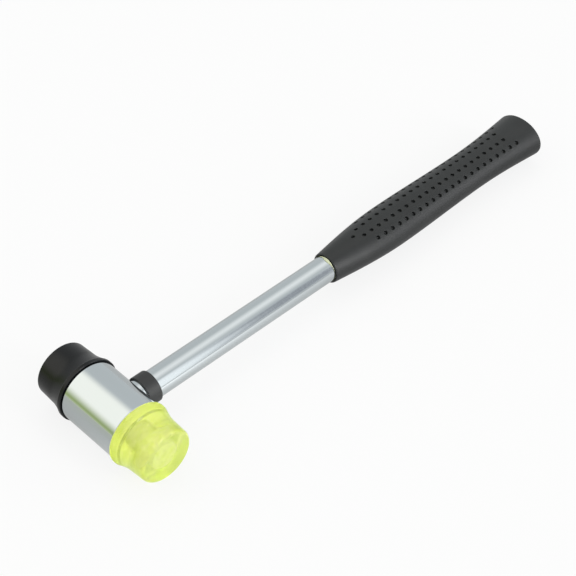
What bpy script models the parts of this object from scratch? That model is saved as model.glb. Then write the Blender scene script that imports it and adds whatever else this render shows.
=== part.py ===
"""Double-faced hammer, lying on its side on a flat surface.

A chromed barrel carries a hard plastic face and a soft rubber face, each screwed in by a stud that is moulded
into it. A chromed tube runs from the barrel into an oval rubber grip, dimpled on its two broad sides and
flared at the butt. Everything is drawn in the hammer's own axes, with the middle of the head at the origin,
the handle along +X and the faces along +Y and -Y. One empty then lays the hammer down on its rims and butt.
"""

import math

import bmesh
import bpy
from mathutils import Vector

# Clearances
SEAT_GAP = 0.0003  # between faces that meet end to end, and round the moving studs
FIT_GAP = 0.0002  # round the tube, in the pieces that are pushed on to it

# Head barrel
BARREL_DIAMETER = 0.0284
BARREL_LENGTH = 0.0312
BARREL_CHAMFER = 0.0004
SOCKET_FLOOR = 0.0070  # metal left behind the bottom of the handle's socket
SOCKET_WEB = 0.00105  # metal left between a stud's bore and the handle's socket

# Striking faces, one moulding in two materials
FACE_LENGTH = 0.0181
FACE_RIM_DIAMETER = 0.0300
FACE_RIM_WIDTH = 0.0018
FACE_RIM_CHAMFER = 0.0002
FACE_FLARE_DIAMETER = 0.0296  # where the flare leaves the rim
FACE_KNEE = 0.0062  # from the back to where the flare would meet the body
FACE_KNEE_DIAMETER = 0.0266
FACE_BLEND = 0.0025  # from the knee to where the flare has run out
FACE_END_DIAMETER = 0.0256
FACE_END_ROUND = 0.0010

# Studs
STUD_DIAMETER = 0.0080
STUD_CHAMFER = 0.0007
STUD_TIP_GAP = 0.0005
STUD_HEAD_DIAMETER = 0.0130
STUD_HEAD_LENGTH = 0.0050
STUD_COVER = 0.0032  # plastic in front of the stud's head

# Handle tube, its plug and its collar
TUBE_DIAMETER = 0.0127
TUBE_WALL = 0.0010
PLUG_LENGTH = 0.0240
PLUG_CHAMFER = 0.0006
COLLAR_WALL = 0.00075
COLLAR_LENGTH = 0.0066
COLLAR_NEAR_ROUND = 0.0003
COLLAR_FAR_ROUND = 0.0006

# Grip: walls are counted from the tube, across the head's axis (side) and square to it (top)
GRIP_START = 0.1245  # from the middle of the head to the grip's mouth
GRIP_LENGTH = 0.1416
GRIP_LIP_WALL = 0.0009
GRIP_LIP_ROUND = 0.0003
GRIP_BELLY = 0.0435  # from the mouth to the fullest section
GRIP_BELLY_SIDE_WALL = 0.0052
GRIP_BELLY_TOP_WALL = 0.0025
GRIP_WAIST = 0.0995  # from the mouth to the slimmest section
GRIP_WAIST_SIDE_WALL = 0.0043
GRIP_WAIST_TOP_WALL = 0.0018
GRIP_BUTT_SIDE_WALL = 0.0068
GRIP_BUTT_TOP_WALL = 0.0036
GRIP_BUTT_SHIFT = 0.0017  # how far the butt leans towards the soft face
GRIP_BUTT_ROUND = 0.0011
GRIP_BUTT_WALL = 0.0078  # solid rubber past the end of the tube

# Dimples, in four rows and a single one at their point, on both broad sides
DIMPLE_DIAMETER = 0.0020
DIMPLE_FLOOR_DIAMETER = 0.0012
DIMPLE_DEPTH = 0.0008
DIMPLE_PITCH = 0.00477
DIMPLE_START = 0.0177  # from the mouth to the single dimple
DIMPLE_END_MARGIN = 0.0120  # bare rubber before the butt
DIMPLE_INNER_ANGLE = math.radians(14.5)
DIMPLE_OUTER_ANGLE = math.radians(40.5)
DIMPLE_SIDES = 8

# Adhesive squeezed out at the mouth, widest on the upper side
GLUE_WIDTH = 0.0009
GLUE_THIN_WIDTH = 0.0003
GLUE_HEIGHT = 0.0006
GLUE_THIN_HEIGHT = 0.0003
GLUE_WIDE_ANGLE = math.radians(15)

# How finely round forms are divided
TURNED_SIDES = 44
STUD_SIDES = 32
GRIP_SIDES = 36
GRIP_STATIONS = 24
FLARE_STEPS = 5
ROUND_STEPS = 3
SHARP_ANGLE = math.radians(35)  # edges turning more than this stay crisp
WELD = 1e-7  # joins the points that a turn leaves on its axis

barrel_radius = BARREL_DIAMETER / 2
barrel_half = BARREL_LENGTH / 2
tube_radius = TUBE_DIAMETER / 2
sleeve_bore = tube_radius + FIT_GAP
stud_radius = STUD_DIAMETER / 2
stud_bore = stud_radius + SEAT_GAP
bore_bottom = sleeve_bore + SOCKET_WEB
stud_tip = bore_bottom + STUD_TIP_GAP
face_back = barrel_half + SEAT_GAP
face_end = face_back + FACE_LENGTH
stud_head_front = face_end - STUD_COVER
stud_head_back = stud_head_front - STUD_HEAD_LENGTH
stud_head_radius = STUD_HEAD_DIAMETER / 2
socket_bottom = SOCKET_FLOOR - barrel_radius
tube_start = socket_bottom + SEAT_GAP
grip_end = GRIP_START + GRIP_LENGTH
grip_bore_end = grip_end - GRIP_BUTT_WALL
tube_end = grip_bore_end - SEAT_GAP


def clear_scene():
    for leftover in list(bpy.data.objects):
        bpy.data.objects.remove(leftover, do_unlink=True)


def finish(name, colour, roughness, metallic):
    """A plain material for one piece."""
    made = bpy.data.materials.new(name)
    made.use_nodes = True
    shader = made.node_tree.nodes["Principled BSDF"]
    shader.inputs["Base Color"].default_value = (*colour, 1)
    shader.inputs["Roughness"].default_value = roughness
    shader.inputs["Metallic"].default_value = metallic
    return made


def piece_from(bm, name, parent, material=None):
    """Closes a bmesh into a smooth-shaded object under its parent."""
    bmesh.ops.recalc_face_normals(bm, faces=bm.faces)
    mesh = bpy.data.meshes.new(name)
    bm.to_mesh(mesh)
    bm.free()
    mesh.shade_smooth()
    mesh.set_sharp_from_angle(angle=SHARP_ANGLE)
    if material:
        mesh.materials.append(material)
    piece = bpy.data.objects.new(name, mesh)
    bpy.context.scene.collection.objects.link(piece)
    piece.parent = parent
    return piece


def turned(name, parent, profile, sides, material=None):
    """Turns a profile of (distance along, radius) about the piece's own Z axis.

    A profile that starts and ends on the axis makes a solid, and any other is closed into a ring.
    """
    bm = bmesh.new()
    corners = [bm.verts.new((radius, 0, along)) for along, radius in profile]
    edges = [bm.edges.new(pair) for pair in zip(corners, corners[1:])]
    if profile[0][1] > 0:
        edges.append(bm.edges.new((corners[-1], corners[0])))
    bmesh.ops.spin(
        bm,
        geom=corners + edges,
        axis=(0, 0, 1),
        cent=(0, 0, 0),
        angle=math.tau,
        steps=sides,
        use_merge=True,
    )
    bmesh.ops.remove_doubles(bm, verts=bm.verts, dist=WELD)
    return piece_from(bm, name, parent, material)


def along_handle(piece):
    """Turns a piece's own axis on to the handle's axis."""
    piece.rotation_euler = (0, math.pi / 2, 0)
    return piece


def along_head(piece, side):
    """Turns a piece's own axis on to the head's axis, pointing out of the head at that side."""
    piece.rotation_euler = (-side * math.pi / 2, 0, 0)
    return piece


def cut(piece, cutter):
    """Takes the cutter's shape out of the piece and leaves the cutter as a guide."""
    boolean = piece.modifiers.new("cut_" + cutter.name, "BOOLEAN")
    boolean.operation = "DIFFERENCE"
    boolean.solver = "EXACT"
    boolean.object = cutter
    cutter.hide_render = True
    cutter.display_type = "WIRE"


def round_corner(along, radius, size, start, end):
    """Points of a quarter round of that size about a centre, between two angles from the axis."""
    angles = [start + (end - start) * step / ROUND_STEPS for step in range(ROUND_STEPS + 1)]
    return [(along + size * math.cos(angle), radius + size * math.sin(angle)) for angle in angles]


def head_barrel(parent, chrome):
    """The barrel, bored from both ends for the studs and from one flank for the handle."""
    half_profile = [
        (bore_bottom, 0),
        (bore_bottom, stud_bore),
        (barrel_half, stud_bore),
        (barrel_half, barrel_radius - BARREL_CHAMFER),
        (barrel_half - BARREL_CHAMFER, barrel_radius),
    ]
    mirrored = [(-along, radius) for along, radius in reversed(half_profile)]
    barrel = along_head(turned("head_barrel", parent, half_profile + mirrored, TURNED_SIDES, chrome), 1)
    past_flank = 2 * barrel_radius
    socket = [(past_flank, 0), (past_flank, sleeve_bore), (socket_bottom, sleeve_bore), (socket_bottom, 0)]
    cut(barrel, along_handle(turned("handle_socket", parent, socket, TURNED_SIDES)))


def flare_points():
    """The concave flare from the rim to the body, as a curve that leaves along the body's own taper."""
    taper = (FACE_END_DIAMETER - FACE_KNEE_DIAMETER) / 2 / (FACE_LENGTH - FACE_KNEE)
    start = Vector((FACE_RIM_WIDTH, FACE_FLARE_DIAMETER / 2))
    knee = Vector((FACE_KNEE, FACE_KNEE_DIAMETER / 2))
    end = knee + FACE_BLEND * Vector((1, taper))
    shares = [step / FLARE_STEPS for step in range(FLARE_STEPS + 1)]
    return [(1 - t) ** 2 * start + 2 * t * (1 - t) * knee + t * t * end for t in shares]


def striking_face(name, parent, side, material):
    """A face with its rim against the barrel, moulded round the head and shank of its stud."""
    end_radius = FACE_END_DIAMETER / 2
    rim_radius = FACE_RIM_DIAMETER / 2
    pocket_radius = stud_head_radius + SEAT_GAP
    pocket_front = stud_head_front + SEAT_GAP
    pocket_back = stud_head_back - SEAT_GAP
    pocket = [
        (pocket_front, 0),
        (pocket_front, pocket_radius),
        (pocket_back, pocket_radius),
        (pocket_back, stud_bore),
        (face_back, stud_bore),
    ]
    rim = [
        (face_back, rim_radius - FACE_RIM_CHAMFER),
        (face_back + FACE_RIM_CHAMFER, rim_radius),
        (face_back + FACE_RIM_WIDTH - FACE_RIM_CHAMFER, rim_radius),
    ]
    flare = [(face_back + along, radius) for along, radius in flare_points()]
    end = round_corner(
        face_end - FACE_END_ROUND, end_radius - FACE_END_ROUND, FACE_END_ROUND, math.pi / 2, 0
    )
    profile = pocket + rim + flare + end + [(face_end, 0)]
    return along_head(turned(name, parent, profile, TURNED_SIDES, material), side)


def face_stud(name, parent, side, steel):
    """A stud with a round head that the face is moulded round, reaching into the barrel."""
    profile = [
        (stud_head_front, 0),
        (stud_head_front, stud_head_radius),
        (stud_head_back, stud_head_radius),
        (stud_head_back, stud_radius),
        (stud_tip + STUD_CHAMFER, stud_radius),
        (stud_tip, stud_radius - STUD_CHAMFER),
        (stud_tip, 0),
    ]
    return along_head(turned(name, parent, profile, STUD_SIDES, steel), side)


def handle_tube(parent, chrome):
    inner = tube_radius - TUBE_WALL
    profile = [(tube_start, inner), (tube_start, tube_radius), (tube_end, tube_radius), (tube_end, inner)]
    along_handle(turned("handle_tube", parent, profile, TURNED_SIDES, chrome))


def tube_plug(parent, steel):
    radius = tube_radius - TUBE_WALL - FIT_GAP
    end = tube_start + PLUG_LENGTH
    profile = [
        (tube_start, 0),
        (tube_start, radius - PLUG_CHAMFER),
        (tube_start + PLUG_CHAMFER, radius),
        (end - PLUG_CHAMFER, radius),
        (end, radius - PLUG_CHAMFER),
        (end, 0),
    ]
    along_handle(turned("tube_plug", parent, profile, STUD_SIDES, steel))


def handle_collar(parent, rubber):
    near = barrel_radius + SEAT_GAP
    far = near + COLLAR_LENGTH
    radius = sleeve_bore + COLLAR_WALL
    profile = [(near, sleeve_bore)]
    profile += round_corner(
        near + COLLAR_NEAR_ROUND, radius - COLLAR_NEAR_ROUND, COLLAR_NEAR_ROUND, math.pi, math.pi / 2
    )
    profile += round_corner(
        far - COLLAR_FAR_ROUND, radius - COLLAR_FAR_ROUND, COLLAR_FAR_ROUND, math.pi / 2, 0
    )
    profile += [(far, sleeve_bore)]
    along_handle(turned("handle_collar", parent, profile, TURNED_SIDES, rubber))


def swell(distance, lip, belly, waist, butt):
    """A wall at a distance from the mouth: rising to the belly, easing to the waist, flaring at the butt."""
    if distance < GRIP_BELLY:
        return lip + (belly - lip) * math.sin(math.pi / 2 * distance / GRIP_BELLY)
    if distance < GRIP_WAIST:
        share = (distance - GRIP_BELLY) / (GRIP_WAIST - GRIP_BELLY)
        return belly + (waist - belly) * (1 - math.cos(math.pi * share)) / 2
    share = (distance - GRIP_WAIST) / (GRIP_LENGTH - GRIP_WAIST)
    return waist + (butt - waist) * (1 - math.cos(math.pi / 2 * share))


def grip_point(distance, angle, inset=0.0):
    """A point of the grip's outside, at a distance from the mouth and an angle from its upper side."""
    side_wall = swell(
        distance, GRIP_LIP_WALL, GRIP_BELLY_SIDE_WALL, GRIP_WAIST_SIDE_WALL, GRIP_BUTT_SIDE_WALL
    )
    top_wall = swell(
        distance, GRIP_LIP_WALL, GRIP_BELLY_TOP_WALL, GRIP_WAIST_TOP_WALL, GRIP_BUTT_TOP_WALL
    )
    lean = GRIP_BUTT_SHIFT * distance / GRIP_LENGTH
    across = lean + (sleeve_bore + side_wall - inset) * math.sin(angle)
    up = (sleeve_bore + top_wall - inset) * math.cos(angle)
    return Vector((GRIP_START + distance, across, up))


def grip_rings():
    """The grip's sections, from the butt along the outside and over the lip to the bottom of its bore."""
    angles = [math.tau * side / GRIP_SIDES for side in range(GRIP_SIDES)]
    butt = GRIP_LENGTH - GRIP_BUTT_ROUND
    rings = []
    for step in range(ROUND_STEPS):
        turn = math.pi / 2 * step / ROUND_STEPS
        distance = butt + GRIP_BUTT_ROUND * math.cos(turn)
        inset = GRIP_BUTT_ROUND * (1 - math.sin(turn))
        rings.append([grip_point(distance, angle, inset) for angle in angles])
    for station in range(GRIP_STATIONS + 1):
        distance = butt + (GRIP_LIP_ROUND - butt) * station / GRIP_STATIONS
        rings.append([grip_point(distance, angle) for angle in angles])
    rings.append([grip_point(0, angle, GRIP_LIP_ROUND) for angle in angles])
    for end in (GRIP_START, grip_bore_end):
        rings.append([Vector((end, sleeve_bore * math.sin(a), sleeve_bore * math.cos(a))) for a in angles])
    return rings


def grip_sleeve(parent, rubber):
    """The grip, lofted through oval sections over the tube, with its dimples cut."""
    bm = bmesh.new()
    rings = [[bm.verts.new(point) for point in ring] for ring in grip_rings()]
    for near, far in zip(rings, rings[1:]):
        for side in range(GRIP_SIDES):
            following = (side + 1) % GRIP_SIDES
            bm.faces.new((near[side], near[following], far[following], far[side]))
    bm.faces.new(rings[0])
    bm.faces.new(rings[-1])
    grip = piece_from(bm, "grip_sleeve", parent, rubber)
    cut(grip, dimple_cutter(parent))


def dimple_places():
    """Distance from the mouth and angle of each dimple on the upper side."""
    span = GRIP_LENGTH - DIMPLE_END_MARGIN - DIMPLE_START - 2 * DIMPLE_PITCH
    count = int(span / DIMPLE_PITCH) + 1
    places = [(DIMPLE_START, 0.0)]
    for row, row_angle in ((1, DIMPLE_INNER_ANGLE), (2, DIMPLE_OUTER_ANGLE)):
        for number in range(count):
            distance = DIMPLE_START + (row + number) * DIMPLE_PITCH
            places += [(distance, row_angle), (distance, -row_angle)]
    return places


def dimple_cutter(parent):
    """A tapered peg for each dimple, square to the grip's surface, on the upper and the lower side."""
    bm = bmesh.new()
    taper = (DIMPLE_DIAMETER - DIMPLE_FLOOR_DIAMETER) / 2 / DIMPLE_DEPTH
    nudge = DIMPLE_DIAMETER / 10
    for distance, row_angle in dimple_places():
        for angle in (row_angle, math.pi + row_angle):
            middle = grip_point(distance, angle)
            forward = grip_point(distance + nudge, angle) - middle
            around = grip_point(distance, angle + nudge / sleeve_bore) - middle
            outward = forward.cross(around)
            place = outward.to_track_quat("Z", "Y").to_matrix().to_4x4()
            place.translation = middle
            bmesh.ops.create_cone(
                bm,
                cap_ends=True,
                segments=DIMPLE_SIDES,
                radius1=DIMPLE_FLOOR_DIAMETER / 2,
                radius2=DIMPLE_DIAMETER / 2 + taper * DIMPLE_DEPTH,
                depth=2 * DIMPLE_DEPTH,
                matrix=place,
            )
    return piece_from(bm, "dimple_pegs", parent)


def grip_glue(parent, adhesive):
    """A bead lying on the tube against the grip's mouth, wider where more was squeezed out."""
    bm = bmesh.new()
    back = GRIP_START - SEAT_GAP
    rings = []
    for side in range(TURNED_SIDES):
        angle = math.tau * side / TURNED_SIDES
        share = (1 + math.cos(angle - GLUE_WIDE_ANGLE)) / 2
        width = GLUE_THIN_WIDTH + (GLUE_WIDTH - GLUE_THIN_WIDTH) * share
        height = GLUE_THIN_HEIGHT + (GLUE_HEIGHT - GLUE_THIN_HEIGHT) * share
        turns = [math.pi / 2 * step / ROUND_STEPS for step in range(ROUND_STEPS + 1)]
        section = [(back, 0)] + [(back - width * math.sin(t), height * math.cos(t)) for t in turns]
        ring = []
        for along, up in section:
            radius = sleeve_bore + up
            ring.append(bm.verts.new((along, radius * math.sin(angle), radius * math.cos(angle))))
        rings.append(ring)
    for side in range(TURNED_SIDES):
        near = rings[side]
        far = rings[(side + 1) % TURNED_SIDES]
        for corner in range(len(near)):
            following = (corner + 1) % len(near)
            bm.faces.new((near[corner], near[following], far[following], far[corner]))
    piece_from(bm, "grip_glue", parent, adhesive)


def lay_down(hammer):
    """Tips the hammer until the butt touches the floor with the rims, then stands its box on the origin."""
    rim_radius = FACE_RIM_DIAMETER / 2
    tilts = []
    for vertex in bpy.data.objects["grip_sleeve"].data.vertices:
        reach = math.hypot(vertex.co.x, vertex.co.z)
        tilts.append(math.asin(rim_radius / reach) - math.atan2(-vertex.co.z, vertex.co.x))
    hammer.rotation_euler = (0, min(tilts), 0)
    bpy.context.view_layer.update()
    corners = []
    for piece in bpy.data.objects:
        if piece.type == "MESH" and not piece.hide_render:
            corners += [piece.matrix_world @ vertex.co for vertex in piece.data.vertices]
    lows = [min(corner[axis] for corner in corners) for axis in range(3)]
    highs = [max(corner[axis] for corner in corners) for axis in range(3)]
    hammer.location = (-(lows[0] + highs[0]) / 2, -(lows[1] + highs[1]) / 2, -lows[2])
    bpy.context.view_layer.update()


def main():
    clear_scene()
    hammer = bpy.data.objects.new("hammer", None)
    bpy.context.scene.collection.objects.link(hammer)

    chrome = finish("chrome", (0.78, 0.80, 0.81), 0.08, 1.0)
    zinc = finish("zinc_plated_steel", (0.62, 0.62, 0.60), 0.35, 1.0)
    yellow = finish("yellow_plastic", (0.68, 0.80, 0.12), 0.2, 0.0)
    black_rubber = finish("black_rubber", (0.030, 0.031, 0.032), 0.5, 0.0)
    grip_rubber = finish("grip_rubber", (0.045, 0.046, 0.047), 0.6, 0.0)
    adhesive = finish("adhesive", (0.70, 0.68, 0.40), 0.3, 0.0)

    head_barrel(hammer, chrome)
    striking_face("hard_face", hammer, -1, yellow)
    face_stud("hard_face_stud", hammer, -1, zinc)
    striking_face("soft_face", hammer, 1, black_rubber)
    face_stud("soft_face_stud", hammer, 1, zinc)
    handle_tube(hammer, chrome)
    tube_plug(hammer, zinc)
    handle_collar(hammer, black_rubber)
    grip_sleeve(hammer, grip_rubber)
    grip_glue(hammer, adhesive)
    lay_down(hammer)

    print("tilt in degrees", math.degrees(hammer.rotation_euler.y))
    print("middle of the head", *hammer.location)
    print("striking ends at y", -face_end, face_end)
    print("stud travel to its tip", barrel_half - stud_tip)


main()
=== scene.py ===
# %% [markdown]
# # Dressing a double-faced hammer
# The hammer lies on its side: a short chromed barrel with a clear yellow hard face at one end and a black
# rubber soft face at the other, a chromed tube for a handle, and a dimpled rubber grip. The frame brings
# the plain solids at their real size. Each step below replaces one of them with a finer mesh and a real
# finish.

# %% Load the frame
import math

import bmesh
import bpy
from mathutils import Matrix, Vector


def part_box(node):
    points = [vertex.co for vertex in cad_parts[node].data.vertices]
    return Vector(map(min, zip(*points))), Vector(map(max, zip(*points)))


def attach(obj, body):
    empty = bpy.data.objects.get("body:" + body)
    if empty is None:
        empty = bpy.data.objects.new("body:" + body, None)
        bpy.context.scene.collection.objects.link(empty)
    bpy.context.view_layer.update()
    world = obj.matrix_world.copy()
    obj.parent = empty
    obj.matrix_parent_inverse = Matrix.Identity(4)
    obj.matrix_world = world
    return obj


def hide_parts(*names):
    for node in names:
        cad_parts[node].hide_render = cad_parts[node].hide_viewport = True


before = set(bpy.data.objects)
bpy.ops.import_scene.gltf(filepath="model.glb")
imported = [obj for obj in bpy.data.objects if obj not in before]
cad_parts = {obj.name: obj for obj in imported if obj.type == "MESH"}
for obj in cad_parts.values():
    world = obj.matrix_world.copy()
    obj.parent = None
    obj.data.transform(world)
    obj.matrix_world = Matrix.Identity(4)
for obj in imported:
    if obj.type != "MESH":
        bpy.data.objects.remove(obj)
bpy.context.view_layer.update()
print("solids in the frame:", sorted(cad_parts))

# %% [markdown]
# ## The hammer's own axes
# A hammer is easiest to draw along itself: the handle along X, the head along Y, the middle of the head at
# the origin. The real one rests on its two rims and its butt, so it lies a degree out of level. The tilt
# is measured on the tube's two ends, and one matrix then lays every piece down where its solid lies. The
# hammer's own lengths are in millimetres below, and MM turns them into the frame's metres.

# %% Measure how the hammer lies
MM = 0.001
END_SLICE = 1 * MM  # the corners this near a tip of the tube belong to its end


def end_of_tube(tip):
    """The middle of the tube's end at that tip, which is min or max along X."""
    points = [vertex.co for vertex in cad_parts["handle_tube"].data.vertices]
    edge = tip(point.x for point in points)
    heights = [point.z for point in points if abs(point.x - edge) < END_SLICE]
    return Vector((edge, 0, (min(heights) + max(heights)) / 2))


def middle_of(node):
    low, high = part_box(node)
    return (low + high) / 2


slope = end_of_tube(max) - end_of_tube(min)
tilt = math.atan2(-slope.z, slope.x)
head = middle_of("head_barrel")
lay_down = Matrix.Translation(head) @ Matrix.Rotation(tilt, 4, "Y")
stand_up = lay_down.inverted()
print("tilt in degrees:", round(math.degrees(tilt), 3), "head at", [round(value, 5) for value in head])

# %% Read the solids along those axes


def reach(node):
    """A solid's lowest and highest corners along the hammer's own axes, in millimetres."""
    points = [stand_up @ vertex.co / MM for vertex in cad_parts[node].data.vertices]
    low = Vector([min(point[axis] for point in points) for axis in range(3)])
    high = Vector([max(point[axis] for point in points) for axis in range(3)])
    return low, high


barrel_high = reach("head_barrel")[1]
tube_low, tube_high = reach("handle_tube")
barrel_radius = barrel_high.z
barrel_half = barrel_high.y
tube_radius = tube_high.z
print("barrel radius and half length, tube radius in mm:", barrel_radius, barrel_half, tube_radius)

# %% [markdown]
# ## Colours and nodes
# A colour is easiest to read as the sRGB hex that a paint program shows, but the shader wants linear
# light, so one function converts it. A second one adds a shader node: its settings go in by name, its
# inputs by socket, and an input that is another node's output becomes a link.

# %% One function for colours, one for nodes
MIX_A = 6  # a Mix node's colours go by number, since other sockets share their names
MIX_B = 7
MIX_RESULT = 2
RANGE = ("From Min", "From Max", "To Min", "To Max")  # the inputs of a Map Range node
NOISE_SPREAD = (0.3, 0.7)  # nearly all values of a noise lie between these
NARROW_SPREAD = (0.35, 0.65)


def colour(hex_code):
    """Linear RGBA from an sRGB hex code, by the curve of the sRGB standard."""
    channels = [int(hex_code[start:start + 2], 16) / 255 for start in (1, 3, 5)]
    return [c / 12.92 if c <= 0.04045 else ((c + 0.055) / 1.055) ** 2.4 for c in channels] + [1]


def add(tree, kind, inputs, **settings):
    """Adds one node with its settings, and sets or links its inputs."""
    made = tree.nodes.new(kind)
    for name, value in settings.items():
        setattr(made, name, value)
    for socket, value in inputs.items():
        if isinstance(value, bpy.types.NodeSocket):
            tree.links.new(value, made.inputs[socket])
        else:
            made.inputs[socket].default_value = value
    return made


def blank_material(name):
    """An empty material with its output, ready for a surface."""
    made = bpy.data.materials.new(name)
    made.use_nodes = True
    made.node_tree.nodes.clear()
    return made, made.node_tree, made.node_tree.nodes.new("ShaderNodeOutputMaterial")


def per_metre(size_mm):
    """The texture scale at which a feature is that many millimetres across."""
    return 1 / (size_mm * MM)


print("white in linear light:", colour("#ffffff"))

# %% [markdown]
# ## Bright chrome plate
# The barrel and the tube are steel, ground round and then chrome-plated. Chrome mirrors the room, a little
# darker and bluer than silver. What tells it from a perfect mirror is the grinding under the plate: fine
# lines round the piece that soften every reflection along it. A noise that is stretched round the piece
# and squeezed along its axis draws those lines, both as a change of gloss and as a very low bump.

# %% Chrome
CHROME = "#c0c6c8"
GRIND_LINE = 0.25  # mm between grinding lines
GRIND_RUN = 30  # how many times longer than wide a line is
GRIND_DEPTH = 0.0006  # mm
CHROME_GLOSS = (0.06, 0.11)


def chrome_plate(name, axis):
    """Chrome over ground steel, with its lines running round the given axis of the frame."""
    made, tree, output = blank_material(name)
    here = add(tree, "ShaderNodeTexCoord", {}).outputs["Object"]
    stretch = [1 / GRIND_RUN] * 3
    stretch[axis] = 1
    lines_at = add(tree, "ShaderNodeMapping", {"Vector": here, "Scale": stretch})
    lines = add(
        tree,
        "ShaderNodeTexNoise",
        {"Vector": lines_at.outputs["Vector"], "Scale": per_metre(GRIND_LINE), "Detail": 3},
    ).outputs["Fac"]
    gloss = add(
        tree, "ShaderNodeMapRange", {"Value": lines, **dict(zip(RANGE, NOISE_SPREAD + CHROME_GLOSS))}
    )
    relief = add(tree, "ShaderNodeBump", {"Height": lines, "Strength": 0.5, "Distance": GRIND_DEPTH * MM})
    surface = add(
        tree,
        "ShaderNodeBsdfPrincipled",
        {
            "Base Color": colour(CHROME),
            "Metallic": 1,
            "Roughness": gloss.outputs["Result"],
            "Normal": relief.outputs["Normal"],
        },
    )
    tree.links.new(surface.outputs["BSDF"], output.inputs["Surface"])
    return made


barrel_chrome = chrome_plate("chrome_plate_ground_barrel", 1)
tube_chrome = chrome_plate("chrome_plate_ground_tube", 0)
print("made", barrel_chrome.name, "and", tube_chrome.name)

# %% [markdown]
# ## Clear fluorescent yellow plastic
# The hard face is moulded in acetate with a fluorescent lime dye. It is clear with a little haze: the
# stud's head shows through it as a pale disc with soft edges. So the shader transmits and bends most of
# the light and scatters the rest under the skin, while a thin volume inside absorbs blue and adds the
# haze. The base colour carries most of the tint, in streaks from green to yellow as the plastic flowed
# into the mould, and it deepens where the surface is seen aslant. The dye turns some of the light that it
# swallows into yellow-green, which a low painted glow stands for: it is as bright in shade as in light.
# Shade is painted into the mould lines and the knurl as a darker olive, where an attribute marks the mesh.

# %% Tint of the yellow plastic
STREAK_TINTS = ("#f0fa80", "#ffffb4")  # green and yellow
ACETATE_EDGE = "#94b034"  # where it is seen aslant
EDGE_BLEND = 0.33  # the higher, the further in from the outline that tint reaches
# painted shade, a darker olive, in the mould lines and in the knurl
PAINTED_GROOVE_SHADE = "#58661a"
FLOW_STREAK = 2.6  # mm along the head
FLOW_RUN = 0.5  # the streaks' scale round the head
STREAK_SPREAD = (0.36, 0.62)  # the noise values that have those tints


def streaked_tint(tree, here):
    """The plastic's colour: streaked, deeper where it is seen aslant, with shade painted where it is
    marked.
    """
    streaks_at = add(tree, "ShaderNodeMapping", {"Vector": here, "Scale": (FLOW_RUN, 1, FLOW_RUN)})
    streaks = add(
        tree,
        "ShaderNodeTexNoise",
        {"Vector": streaks_at.outputs[0], "Scale": per_metre(FLOW_STREAK), "Detail": 3, "Distortion": 1},
    )
    tint = add(tree, "ShaderNodeValToRGB", {"Fac": streaks.outputs["Fac"]})
    for stop, position, shade in zip(tint.color_ramp.elements, STREAK_SPREAD, STREAK_TINTS):
        stop.position = position
        stop.color = colour(shade)
    aslant = add(tree, "ShaderNodeLayerWeight", {"Blend": EDGE_BLEND})
    deeper = add(
        tree,
        "ShaderNodeMix",
        {"Factor": aslant.outputs["Facing"], MIX_A: tint.outputs["Color"], MIX_B: colour(ACETATE_EDGE)},
        data_type="RGBA",
    )
    # marks where shade is painted into the mould lines and the knurl
    groove_shade = add(tree, "ShaderNodeAttribute", {}, attribute_name="painted_shade")
    return add(
        tree,
        "ShaderNodeMix",
        {"Factor": groove_shade.outputs["Fac"], MIX_A: deeper.outputs[MIX_RESULT], MIX_B: colour(PAINTED_GROOVE_SHADE)},
        data_type="RGBA",
    ).outputs[MIX_RESULT]


print("streaks from", *STREAK_TINTS)

# %% Clear yellow plastic
ACETATE_GLOSS = (0.21, 0.25)  # rougher than about 0.27, it is rendered blotchy
ACETATE_DEPTH = "#f8fc00"
DEPTH_DENSITY = 10  # per metre
HAZE = "#f4fca0"
HAZE_DENSITY = 14  # per metre
# a painted glow, as bright in shade as in light, for the yellow-green that the dye gives back
PAINTED_DYE_GLOW = "#e4f468"
PAINTED_GLOW_STRENGTH = 0.19
FLOW_SWIRL = 2.4  # mm
FLOW_RELIEF = 0.1  # mm
UNDER_SKIN = 4  # mm that light spreads there


def clear_yellow_plastic():
    made, tree, output = blank_material("clear_fluorescent_yellow_acetate")
    here = add(tree, "ShaderNodeTexCoord", {}).outputs["Object"]
    flow = add(
        tree,
        "ShaderNodeTexNoise",
        {"Vector": here, "Scale": per_metre(FLOW_SWIRL), "Detail": 2, "Distortion": 1.5},
    ).outputs["Fac"]
    gloss = add(
        tree, "ShaderNodeMapRange", {"Value": flow, **dict(zip(RANGE, NARROW_SPREAD + ACETATE_GLOSS))}
    )
    relief = add(tree, "ShaderNodeBump", {"Height": flow, "Strength": 0.3, "Distance": FLOW_RELIEF * MM})
    surface = add(
        tree,
        "ShaderNodeBsdfPrincipled",
        {
            "Base Color": streaked_tint(tree, here),
            "Roughness": gloss.outputs["Result"],
            "Normal": relief.outputs["Normal"],
            "IOR": 1.48,
            "Transmission Weight": 0.91,
            "Subsurface Weight": 1,
            "Subsurface Radius": (1, 1, 0.4),
            "Subsurface Scale": UNDER_SKIN * MM,
            "Emission Color": colour(PAINTED_DYE_GLOW),
            "Emission Strength": PAINTED_GLOW_STRENGTH,
        },
    )
    depth = add(
        tree, "ShaderNodeVolumeAbsorption", {"Color": colour(ACETATE_DEPTH), "Density": DEPTH_DENSITY}
    )
    haze = add(tree, "ShaderNodeVolumeScatter", {"Color": colour(HAZE), "Density": HAZE_DENSITY})
    cloudy = add(tree, "ShaderNodeAddShader", {0: depth.outputs["Volume"], 1: haze.outputs["Volume"]})
    tree.links.new(surface.outputs["BSDF"], output.inputs["Surface"])
    tree.links.new(cloudy.outputs["Shader"], output.inputs["Volume"])
    return made


yellow_plastic = clear_yellow_plastic()
print("made", yellow_plastic.name)

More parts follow.
